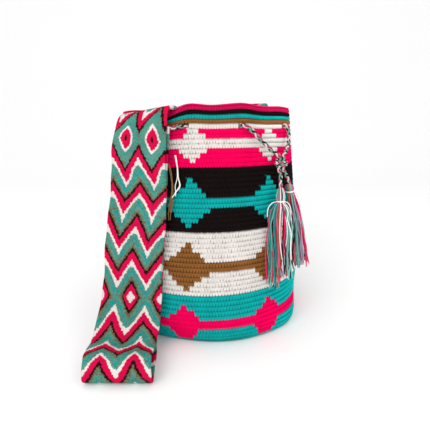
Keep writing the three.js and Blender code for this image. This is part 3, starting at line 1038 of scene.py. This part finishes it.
def stitch_points(name, stitches):
    """Points for the tree. Each stitch is a place, the ways out and up, width, height, yarn."""
    places, *columns = zip(*stitches)
    base = mesh_object(f"{name}_points", places)
    for (field, kind), values in zip(STITCH_FIELDS.items(), columns):
        per_point(base, field, kind, values)
    return base


def crocheted(name, own_rows, extra, seed, shape):
    """The stitches of some rows, and some extra ones, as one piece."""
    stitches = []
    for row in own_rows:
        middle = (row["from"] + row["to"]) / 2
        tall = row["to"] - row["from"]
        for column in range(row["count"]):
            if is_eyelet(row, column):
                continue
            place, out, up = wall_point(stitch_angle(row, column), middle, STITCH_SEAT)
            wide = 2 * math.pi * math.hypot(place[0], place[1]) / row["count"]
            stitches.append((place, out, up, wide, tall, colour_of(row, column)))
    base = stitch_points(name, [*stitches, *extra])
    settings = {"Stitch": shape, "Depth": STITCH_DEEP, "Unevenness": 0.08, "Seed": seed}
    return finish_piece(grown(base, crochet, settings, name), "crochet_yarn")


print("a stitch carries", list(STITCH_FIELDS))


# %% [markdown]
# ## The bag's bands
# The whole bag is one piece of crochet. Here it is made in bands, so that no mesh grows too
# heavy, and the bands meet row to row. The rim ends in a chain of loops that lie on its top.

# %% The rim's chain
def rim_chain():
    """The last round's loops, lying along the top of the rim."""
    loops = []
    for column in range(STITCHES):
        degrees = column * 360 / STITCHES
        place, _, _ = wall_point(degrees, outer_run[-1], 1.9 * MM)
        place[2] += 0.1 * MM
        along = around(degrees + 90, 1.0, 0.0)
        along[2] = 0
        loops.append((place, np.array((0, 0, 1.0)), along, 3.3 * MM, 3.1 * MM, DEEP_PINK))
    return loops


chain = rim_chain()
print("the rim's chain has", len(chain), "loops")


# %% [markdown]
# ## Crocheting the bands
# Each band goes through the tree with a seed of its own.

# %% The bands
bands = {
    "crochet_rim_and_pink_band": ("rim", "tan", "eyelets", "pink"),
    "crochet_dark_band": ("dark",),
    "crochet_white_band": ("white",),
    "crochet_teal_band": ("teal",),
    "crochet_base": ("base",),
}
for number, (name, members) in enumerate(bands.items()):
    own_rows = [row for row in rows if row["band"] in members]
    shape = base_stitch if "base" in members else stitch
    crocheted(name, own_rows, chain if "rim" in members else [], number + 1, shape)
print(len(bands), "bands")

# %% [markdown]
# ## The cloth behind the stitches
# Tapestry crochet carries the colours that aren't showing inside the stitches, so the cloth is
# thick and closed. A plain shell stands for that core: it closes the gaps between the legs in the
# same colour, with painted shade on its outer side where it lies deep between the stitches, and
# its inner side shows the ridges of the rows. Its faces are quads, one column for each stitch and
# two for each row of the side, and it is open where the cord goes through.

# %% The shell's points
SHELL_OUT = 1.75 * MM            # its outer and inner side, under the bag's outer surface
SHELL_IN = 3.1 * MM
RIDGE = 0.8 * MM
KNOB = 0.22 * MM
CORE_PAINTED_SHADE = 0.8                # painted shade on its outer side, which lies deep between the stitches
CARRIED_SHARE = 0.4


def shell_lattice():
    """Outer and inner points from the rim to the base, and the row that each level belongs to."""
    degrees = pulled(np.arange(STITCHES) * 360 / STITCHES)
    stops = []
    for row in rows:
        stops.append((row, row["to"], False))
        if row["band"] != "base":
            stops.append((row, (row["to"] + row["from"]) / 2, True))
    outside, inside = [], []
    knobs = KNOB * np.where(np.arange(STITCHES) % 2, 1, -1)
    for _, run, is_middle in stops:
        inset = SHELL_IN + (RIDGE if is_middle else 0.0)
        outside.append([wall_point(angle, run, SHELL_OUT)[0] for angle in degrees])
        inside.append([wall_point(angle, run, inset + (knob if is_middle else 0))[0]
                       for angle, knob in zip(degrees, knobs)])
    return np.array(outside), np.array(inside), [row for row, _, _ in stops]


lattice = shell_lattice()
print("the shell has", len(lattice[0]), "levels of", STITCHES, "points")

# %% [markdown]
# ## Closing the shell
# Four neighbouring points make a face, on the outer and on the inner side. Where a stitch is
# left out there is no face, and the edges of that gap are joined from side to side, so the
# shell stays closed. A fan of triangles closes it in the middle of the base.

# %% The shell
def core_colour(row, column, rng):
    """The stitch's own yarn, or in the white parts now and then the yarn carried inside."""
    own = colour_of(row, column if row["count"] == STITCHES else 0)
    if own == WHITE and row["band"] in GROUND and rng.random() < CARRIED_SHARE:
        return CARRIED
    return own


def shell(outside, inside, owners):
    """One closed mesh, with a hole through it at each eyelet."""
    levels = len(outside)
    points = [*outside.reshape(-1, 3), *inside.reshape(-1, 3)]
    points += [np.array((0, 0, SHELL_OUT)), np.array((0, 0, SHELL_IN + RIDGE))]
    size = levels * STITCHES
    poles = (2 * size, 2 * size + 1)
    closed = np.array([[not is_eyelet(row, column) for column in range(STITCHES)]
                       for row in owners[:-1]])
    faces, yarn = [], []
    rng = random.Random(17)

    def corner(layer, level, column):
        return layer * size + level * STITCHES + column % STITCHES

    def wall(a, b, colour):
        """A face between the outer and the inner line from a to b."""
        faces.append((corner(0, *a), corner(1, *a), corner(1, *b), corner(0, *b)))
        yarn.append(colour)

    for level, row in enumerate(owners[:-1]):
        for column in range(STITCHES):
            if not closed[level, column]:
                continue
            colour = core_colour(row, column, rng)
            here = [(level, column), (level + 1, column),
                    (level + 1, column + 1), (level, column + 1)]
            faces.append(tuple(corner(0, *spot) for spot in here))
            faces.append(tuple(corner(1, *spot) for spot in reversed(here)))
            yarn += [colour, colour]
            if not closed[level, column - 1]:
                wall(here[0], here[1], colour)
            if not closed[level, (column + 1) % STITCHES]:
                wall(here[2], here[3], colour)
            if level == 0 or not closed[level - 1, column]:
                wall(here[3], here[0], colour)
            if level < levels - 2 and not closed[level + 1, column]:
                wall(here[1], here[2], colour)
    last = levels - 1
    for column in range(STITCHES):
        faces.append((corner(0, last, column), poles[0], corner(0, last, column + 1)))
        faces.append((corner(1, last, column + 1), poles[1], corner(1, last, column)))
        yarn += [TEAL, TEAL]
    obj = mesh_object("crochet_core", points, faces, materials=bag_yarns)
    # Painted shade: the outer points lie deep between the stitches and are darkened, the inner ones
    # are not.
    per_point(obj, "painted_shade", "FLOAT", [CORE_PAINTED_SHADE] * size + [0.0] * (len(points) - size))
    colour_faces(obj, yarn)
    return obj


core = finish_piece(shell(*lattice), "crochet_yarn", "bag_body")

# %% [markdown]
# ## The shoulder strap
# The strap is a thick woven band, sewn to the rim at both ends. It runs across the mouth, over
# the rim, down the front and back up again, with a fold on the floor. Its middle line is a
# smooth path, and at each stop a second direction says which way its width faces. The stops
# are given one by one, the same as the frame's, because such a fold follows no simple rule.

# %% The strap's route
STRAP_WIDE = 66 * MM
STRAP_THICK = 3.4 * MM
STRAP_END = 145.0


def over_mouth(distance, height, tip):
    """A stop on the straight way over the mouth, from the sewn end to the far side of the rim."""
    return around(STRAP_END, distance * MM, height * MM), 180 - STRAP_END, tip


def stop(x, y, z, turn, tip):
    """A stop: its place in millimetres, how its width is turned, and how far it is tipped."""
    return np.array((x, y, z)) * MM, turn, tip


strap_stops = [
    over_mouth(102, 222, 0),
    over_mouth(101.2, 236, 0),
    over_mouth(99.5, 246, 0),
    over_mouth(93.5, 252.5, 0),
    over_mouth(86, 249, 0),
    over_mouth(80, 239, 0),
    over_mouth(71, 226, 0),
    over_mouth(57, 213, 0),
    over_mouth(35, 203, 0),
    over_mouth(8, 199, 1),
    over_mouth(-18, 202, 3),
    over_mouth(-44, 212, 5),
    over_mouth(-66, 224, 6),
    over_mouth(-79, 232.6, 6),
    over_mouth(-88, 238, 6),
    over_mouth(-96, 239, 6),
    stop(-58.6, -83.6, 237, 34, 6),
    stop(-60.4, -87, 232, 33, 5),
    stop(-61.5, -91, 222, 32, 2),
    stop(-64, -95.5, 197, 29, -2),
    stop(-66.5, -98, 172, 26, -3),
    stop(-69.5, -100, 137, 22, -3),
    stop(-72.5, -103, 103, 20, -3),
    stop(-76, -107.5, 70, 17, -3),
    stop(-79, -111.5, 43, 13, -3),
    stop(-80.5, -119.5, 26, 9, -2),
    stop(-80, -134, 19.5, 8, 0),
    stop(-79, -150, 21, 7, 0),
    stop(-77.3, -163, 23, 4, 0),
    stop(-76.6, -170.5, 19.5, 2, 0),
    stop(-76.2, -173.4, 11, 1, 0),
    stop(-76.2, -170, 4, 1, 0),
    stop(-77, -160, 2.8, 3, 0),
    stop(-79, -143, 2.8, 6, 0),
    stop(-80.5, -129, 5.8, 9, 0),
    stop(-80, -117, 16, 12, 0),
    stop(-78, -107, 32, 16, -2),
    stop(-75.5, -100.5, 52, 20, -3),
    stop(-72.5, -96, 76, 24, -3),
    stop(-69.8, -93.4, 104, 27, -3),
    stop(-67, -90.6, 137, 29, -3),
    stop(-63.4, -88, 172, 31, -2),
    stop(-61.2, -86.2, 200, 33, 0),
    stop(-59.2, -84.4, 217, 35, 4),
    stop(-58.4, -83.6, 226, 35, 8),
]


def facing_of(turn, tip):
    """The direction of the strap's width."""
    turn, tip = math.radians(turn), math.radians(tip)
    return (math.cos(turn) * math.cos(tip), -math.sin(turn) * math.cos(tip), math.sin(tip))


strap_middle = smooth([place for place, _, _ in strap_stops], 24)
strap_facing = smooth([facing_of(turn, tip) for _, turn, tip in strap_stops], 24)
strap_run = lengths(strap_middle)
STRAP_LENGTH = float(strap_run[-1])
print(f"strap: {STRAP_LENGTH:.3f} m")

# %% [markdown]
# ## The zigzag
# The weave is a grid of small plump cells, and each cell is one colour. So the zigzag is a rule
# that gives a colour for a place on the band, and its edges come out in steps, as woven ones do.
# The pattern is a folded one. Measured from a row of eyes, distance is folded back at
# half a repeat, so the zigzags point one way on one half and the other way on the next. On
# each half, four bands follow each other: black, red, white and a green field that turns tan
# near the next black line. Between two rows of eyes the last lines close into red diamonds.

# %% The strap's colours
strap_yarns = [
    yarn_material("strap_red_pink", (196, 10, 66), shade=0.75, sheen=0.0, gloss=0.05),
    yarn_material("strap_black", (36, 6, 10), sheen=0.0),
    yarn_material("strap_white", (214, 204, 200), shade=0.75, sheen=0.05),
    yarn_material("strap_sea_green", (84, 136, 118), shade=0.6, sheen=0.05),
    yarn_material("strap_tan", (104, 92, 66), shade=0.6, sheen=0.05),
    yarn_material("strap_deep_teal", (6, 140, 138), shade=0.7, sheen=0.03),
]
S_RED, S_BLACK, S_WHITE, S_GREEN, S_TAN, S_DEEP = range(6)
EYE_ROW = 0.2870                 # distance along the strap to a row of eyes
HALF_REPEAT = 0.1575             # from a row of eyes to the next row of red diamonds
ZIGZAG = 12.0 * MM               # half the height of a zigzag
BAND_STEP = 33.8 * MM            # from one black line to the next
EYE_GAP = 4.8 * MM               # between the black lines where two eyes meet
MINGLED = 1.5 * MM               # how far the twisted colours run into each other
PUPIL, IRIS, RING = 0.1, 0.36, 0.47          # an eye's outlines, as shares of its reach
BLACK_UNTIL, RED_UNTIL, WHITE_UNTIL = 0.12, 0.385, 0.5       # shares of a band
RIM_FROM, RIM_UNTIL, RIM_FADE = 0.2, 0.275, 0.017            # where the strap bends over the rim
DIAMOND_RED = 0.62               # the red share of a red diamond, before its white middle
BOWED_FROM = 128 * MM            # from here on the zigzags bow
# How a zigzag's side bows out round the red diamonds: straight, then bowed.
BOW = ([0, 0.2, 0.4, 0.62, 0.8, 1], [0, 0.18, 0.43, 0.73, 0.88, 1])

# A band that hangs bent is pulled askew. Each pair of lists is distances beyond the upper row
# of eyes and an amount there, all in millimetres: how far the right edge climbs, how far the
# pattern is moved to the right, and how far the fold draws it on along the band.
SLANT = ([-60, -15, 0, 20, 50, 90, 120, 158, 180, 205, 235, 260],
         [0, -4, -4, 2, 5, 5, 4, 8, 5, 6, -4, 0])
SHIFT = ([-45, -25, 0, 5, 29, 39, 63, 72, 96, 110, 140],
         [0, 2.0, 1.6, 3.0, 2.1, 4.6, 2.6, 2.4, 0.6, 0.9, 0])
DRAWN = ([0, 30, 38, 60, 75, 100, 150, 185, 200, 213, 224, 240, 270, 320],
         [0, 0.8, -0.5, 2.2, 1.6, 0.2, 0, -2, -4, -4.5, 0, 8.5, 9, 9])


def eye_colour(fold, zig, chance):
    """The yarn of a cell in the field of an eye, which is a diamond with bulging sides."""
    whole = 2 * ZIGZAG + EYE_GAP
    ring = ((fold / whole) ** 1.35 + ((1 + zig) * ZIGZAG / whole) ** 1.35) ** (1 / 1.35)
    if ring < PUPIL:
        return S_BLACK
    if ring < IRIS:
        return S_RED
    if ring < RING:
        return S_WHITE
    return S_TAN if ring + 0.3 * chance > 1.05 else S_GREEN if chance < 0.75 else S_DEEP


def strap_colour(across, run, rng):
    """The yarn of a cell. `across` is 0 to 1 from edge to edge, `run` is metres along the band."""
    over_rim = np.clip((RIM_UNTIL - run) / RIM_FADE, 0, 1) * (run > RIM_FROM)
    beyond_eyes = (run - EYE_ROW) / MM
    across = across - np.interp(beyond_eyes, *SHIFT) * MM / STRAP_WIDE
    run = run + MM * ((across - 0.5) * np.interp(beyond_eyes, *SLANT)
                      + np.interp(beyond_eyes, *DRAWN))
    zig = 4 * abs((2 * (across - 0.12 * over_rim)) % 1 - 0.5) - 1
    fold = abs((run - EYE_ROW + HALF_REPEAT) % (2 * HALF_REPEAT) - HALF_REPEAT)
    low = (1 - zig) / 2
    low = low + (np.interp(low, *BOW) - low) * eased(fold, BOWED_FROM, HALF_REPEAT)
    # The zigzag is a little lower just below the eyes.
    tall = 2 * ZIGZAG * (1 - 0.12 * math.exp(-(((beyond_eyes - 57) / 13) ** 2)))
    chance = rng.random()
    beyond = fold - EYE_GAP - tall * low + MINGLED * (rng.random() - 0.5)
    if beyond < 0:
        return eye_colour(fold, zig, chance)
    number, share = divmod(beyond / BAND_STEP, 1)
    if share < BLACK_UNTIL:
        return S_BLACK
    left = HALF_REPEAT - EYE_GAP - 4 * BAND_STEP         # what four bands leave for the diamonds
    if number == 4 and share * BAND_STEP > left * DIAMOND_RED:
        return S_WHITE
    if share < RED_UNTIL or number == 4:
        return S_RED
    if share < WHITE_UNTIL + 0.1 * abs(zig) ** 3:
        return S_WHITE
    if share + 0.12 * chance > 0.96:
        return S_TAN
    middle = abs(share - 0.7)
    return S_DEEP if chance < 0.66 - 4 * middle else S_GREEN if chance < 0.9 else S_TAN


draw = random.Random(1)
print("across the upper row of eyes:",
      [strap_colour(share, EYE_ROW, draw) for share in np.linspace(0, 1, 9)])

# %% [markdown]
# ## Weaving the strap
# The band is one closed mesh: a grid of cells on its front, the same on its back, and a strip
# along each edge. Every other column of points is a raised one, and in it every other point
# stands higher, which gives the plump cells of a dense weave. The cells near the edges are
# rounded off.

# %% The strap
STRAP_COLUMNS = 28
STRAP_CELLS = 400
PLUMP, FLAT, GROOVE = 0.34 * MM, 0.06 * MM, -0.16 * MM
# How the band wanders sideways, and where the fold draws it in: distances, then the amounts.
SWAY = ([270, 300, 318, 345, 375, 395, 410, 430, 455, 480, 520, 560, 600],
        [-0.5, -1.0, 1.5, 2.8, 1.6, 0.3, 0.6, 2.8, 2.6, 1.4, 0, 0, 0])
NARROWED = ([490, 515, 555, 590], [1, 0.94, 0.93, 1])


def at_run(line, run):
    """A line of the strap at distances along it."""
    return np.column_stack([np.interp(run, strap_run, line[:, axis]) for axis in range(3)])


def strap_frame(run):
    """The middle, the width's direction and the outward direction at distances along the strap."""
    middle, facing = at_run(strap_middle, run), at_run(strap_facing, run)
    step = 1.5 * MM
    tangent = at_run(strap_middle, run + step) - at_run(strap_middle, run - step)
    tangent /= np.linalg.norm(tangent, axis=1)[:, None]
    facing = facing - tangent * np.sum(facing * tangent, axis=1)[:, None]
    facing /= np.linalg.norm(facing, axis=1)[:, None]
    return middle, facing, np.cross(tangent, facing)


def strap_points(wide_steps, long_steps):
    """The points of the front and then of the back, row by row along the band."""
    run = np.linspace(0, STRAP_LENGTH, long_steps + 1)
    middle, facing, outward = strap_frame(run)
    across = np.linspace(-0.5, 0.5, wide_steps + 1)
    columns = np.arange(wide_steps + 1)[None, :]
    along = np.arange(long_steps + 1)[:, None]
    stands = np.where((along + (columns // 2) % 2) % 2 == 1, PLUMP, FLAT)
    plump = np.where(columns % 2 == 1, stands, GROOVE)
    edge = np.clip((0.5 - np.abs(across)) * STRAP_WIDE / (3 * MM), 0, 1)
    half = STRAP_THICK / 2 * np.sqrt(1 - (1 - edge) ** 2 * 0.8)
    wide = STRAP_WIDE * (1 + 0.012 * np.sin(run * 71) + 0.01 * np.sin(run * 173 + 1))
    wide = wide * np.interp(run / MM, *NARROWED)
    sway = np.interp(run / MM, *SWAY)[:, None] * MM
    spots = []
    for sign in (1, -1):
        lift = sign * (half[None, :] + plump)
        spots.append(middle[:, None]
                     + facing[:, None] * (across[None, :] * wide[:, None] + sway)[..., None]
                     + outward[:, None] * lift[..., None])
    return np.concatenate([spot.reshape(-1, 3) for spot in spots])


def woven_strap():
    """The band as one closed mesh of plump cells."""
    wide_steps, long_steps = 2 * STRAP_COLUMNS, 2 * STRAP_CELLS
    size = (long_steps + 1) * (wide_steps + 1)
    rng = random.Random(5)
    colours = [[strap_colour((i + 0.5) / wide_steps, (j + 0.5) / long_steps * STRAP_LENGTH, rng)
                for i in range(wide_steps)] for j in range(long_steps)]
    faces, yarn = [], []

    def corner(layer, j, i):
        return layer * size + j * (wide_steps + 1) + i

    for j in range(long_steps):
        for i in range(wide_steps):
            spot = [(j, i), (j, i + 1), (j + 1, i + 1), (j + 1, i)]
            faces.append(tuple(corner(0, *s) for s in spot))
            faces.append(tuple(corner(1, *s) for s in reversed(spot)))
            yarn += [colours[j][i]] * 2
        for i, forward in ((0, True), (wide_steps, False)):
            quad = [corner(0, j, i), corner(0, j + 1, i), corner(1, j + 1, i), corner(1, j, i)]
            faces.append(tuple(quad if forward else reversed(quad)))
            yarn.append(colours[j][min(i, wide_steps - 1)])
    for i in range(wide_steps):
        for j, forward in ((0, False), (long_steps, True)):
            quad = [corner(0, j, i), corner(0, j, i + 1), corner(1, j, i + 1), corner(1, j, i)]
            faces.append(tuple(quad if forward else reversed(quad)))
            yarn.append(colours[min(j, long_steps - 1)][i])
    obj = mesh_object("woven_strap", strap_points(wide_steps, long_steps), faces,
                      materials=strap_yarns)
    colour_faces(obj, yarn)
    return obj


strap = finish_piece(woven_strap(), "strap_weave", "shoulder_strap")

# %% [markdown]
# ## Sewing
# Each end of the strap is sewn to the wall with a row of slanting stitches in tan yarn. It is
# the crochet tree again, with a single leg as its stitch.

# %% The two seams
whip = template("whip_stitch", (0.15,))
seam_yarn = yarn_material("sewing_tan", (150, 108, 60))
sewing = crochet_tree([seam_yarn])
SEAM_SLANT = 0.45                # how far a stitch leans, sideways for each step up


def seam(name, degrees, radius, height, node, count=20):
    """A row of slanting stitches along the strap's end."""
    out = around(degrees, 1.0, 0.0)
    out[2] = 0
    side = around(degrees + 90, 1.0, 0.0)
    side[2] = 0
    middle = around(degrees, radius, height)
    reach = STRAP_WIDE - 12 * MM
    places = [middle + side * reach * share for share in np.linspace(-0.5, 0.5, count)]
    up = (side * SEAM_SLANT + np.array((0, 0, 1.0))) / math.hypot(SEAM_SLANT, 1)
    base = stitch_points(name, [(place, out, up, 3.6 * MM, 5.5 * MM, 0) for place in places])
    settings = {"Stitch": whip, "Depth": 2.4 * MM, "Unevenness": 0.12, "Seed": 3}
    return finish_piece(grown(base, sewing, settings, name), "sewing_yarn", node)


seam("front_seam_stitches", STRAP_END - 180, 101 * MM, 228 * MM, "front_strap_seam")
seam("back_seam_stitches", STRAP_END, 102.2 * MM, 220.2 * MM, "back_strap_seam")
for helper in (stitch, base_stitch, whip):
    bpy.data.objects.remove(helper)

# %% [markdown]
# ## Floor and light
# The bag stands on a plain pale floor that bends up behind it, as a studio's paper does, under
# soft light from large lamps: one broad key light from the front left, a weaker fill from the
# right, and a bright pale surrounding.

# %% Floor and light
bend = [(1 + math.sin(angle), 1 - math.cos(angle)) for angle in np.linspace(0, math.pi / 2, 17)]
sweep = [(-2.5, 0), *bend, (2, 4)]
floor = mesh_object(
    "floor",
    [(x, y, z) for y, z in sweep for x in (-4, 4)],
    [(2 * i, 2 * i + 1, 2 * i + 3, 2 * i + 2) for i in range(len(sweep) - 1)])
for face in floor.data.polygons:
    face.use_smooth = True
floor_finish = bpy.data.materials.new("pale_floor")
floor_finish.use_nodes = True
floor_shader = floor_finish.node_tree.nodes["Principled BSDF"]
floor_shader.inputs["Base Color"].default_value = (0.93, 0.93, 0.93, 1)
floor_shader.inputs["Roughness"].default_value = 0.9
floor.data.materials.append(floor_finish)
print("the floor is a strip of", len(floor.data.polygons), "faces")

world = bpy.data.worlds.new("studio")
world.use_nodes = True
world.node_tree.nodes["Background"].inputs["Color"].default_value = (1, 1, 1, 1)
world.node_tree.nodes["Background"].inputs["Strength"].default_value = 1.0
bpy.context.scene.world = world
bpy.context.scene.view_settings.view_transform = "Standard"


def soft_light(name, place, size, watts):
    """A large square lamp that looks at the middle of the bag."""
    data = bpy.data.lights.new(name, "AREA")
    data.size = size
    data.energy = watts
    lamp = bpy.data.objects.new(name, data)
    lamp.location = place
    lamp.rotation_euler = (Vector((0, 0, 0.12)) - Vector(place)).to_track_quat("-Z", "Y").to_euler()
    bpy.context.collection.objects.link(lamp)
    print(f"{name}: {watts} W")


soft_light("key_light", (-0.5, -1.1, 0.9), 0.9, 8)
soft_light("fill_light", (0.9, -0.9, 0.5), 0.9, 2.5)
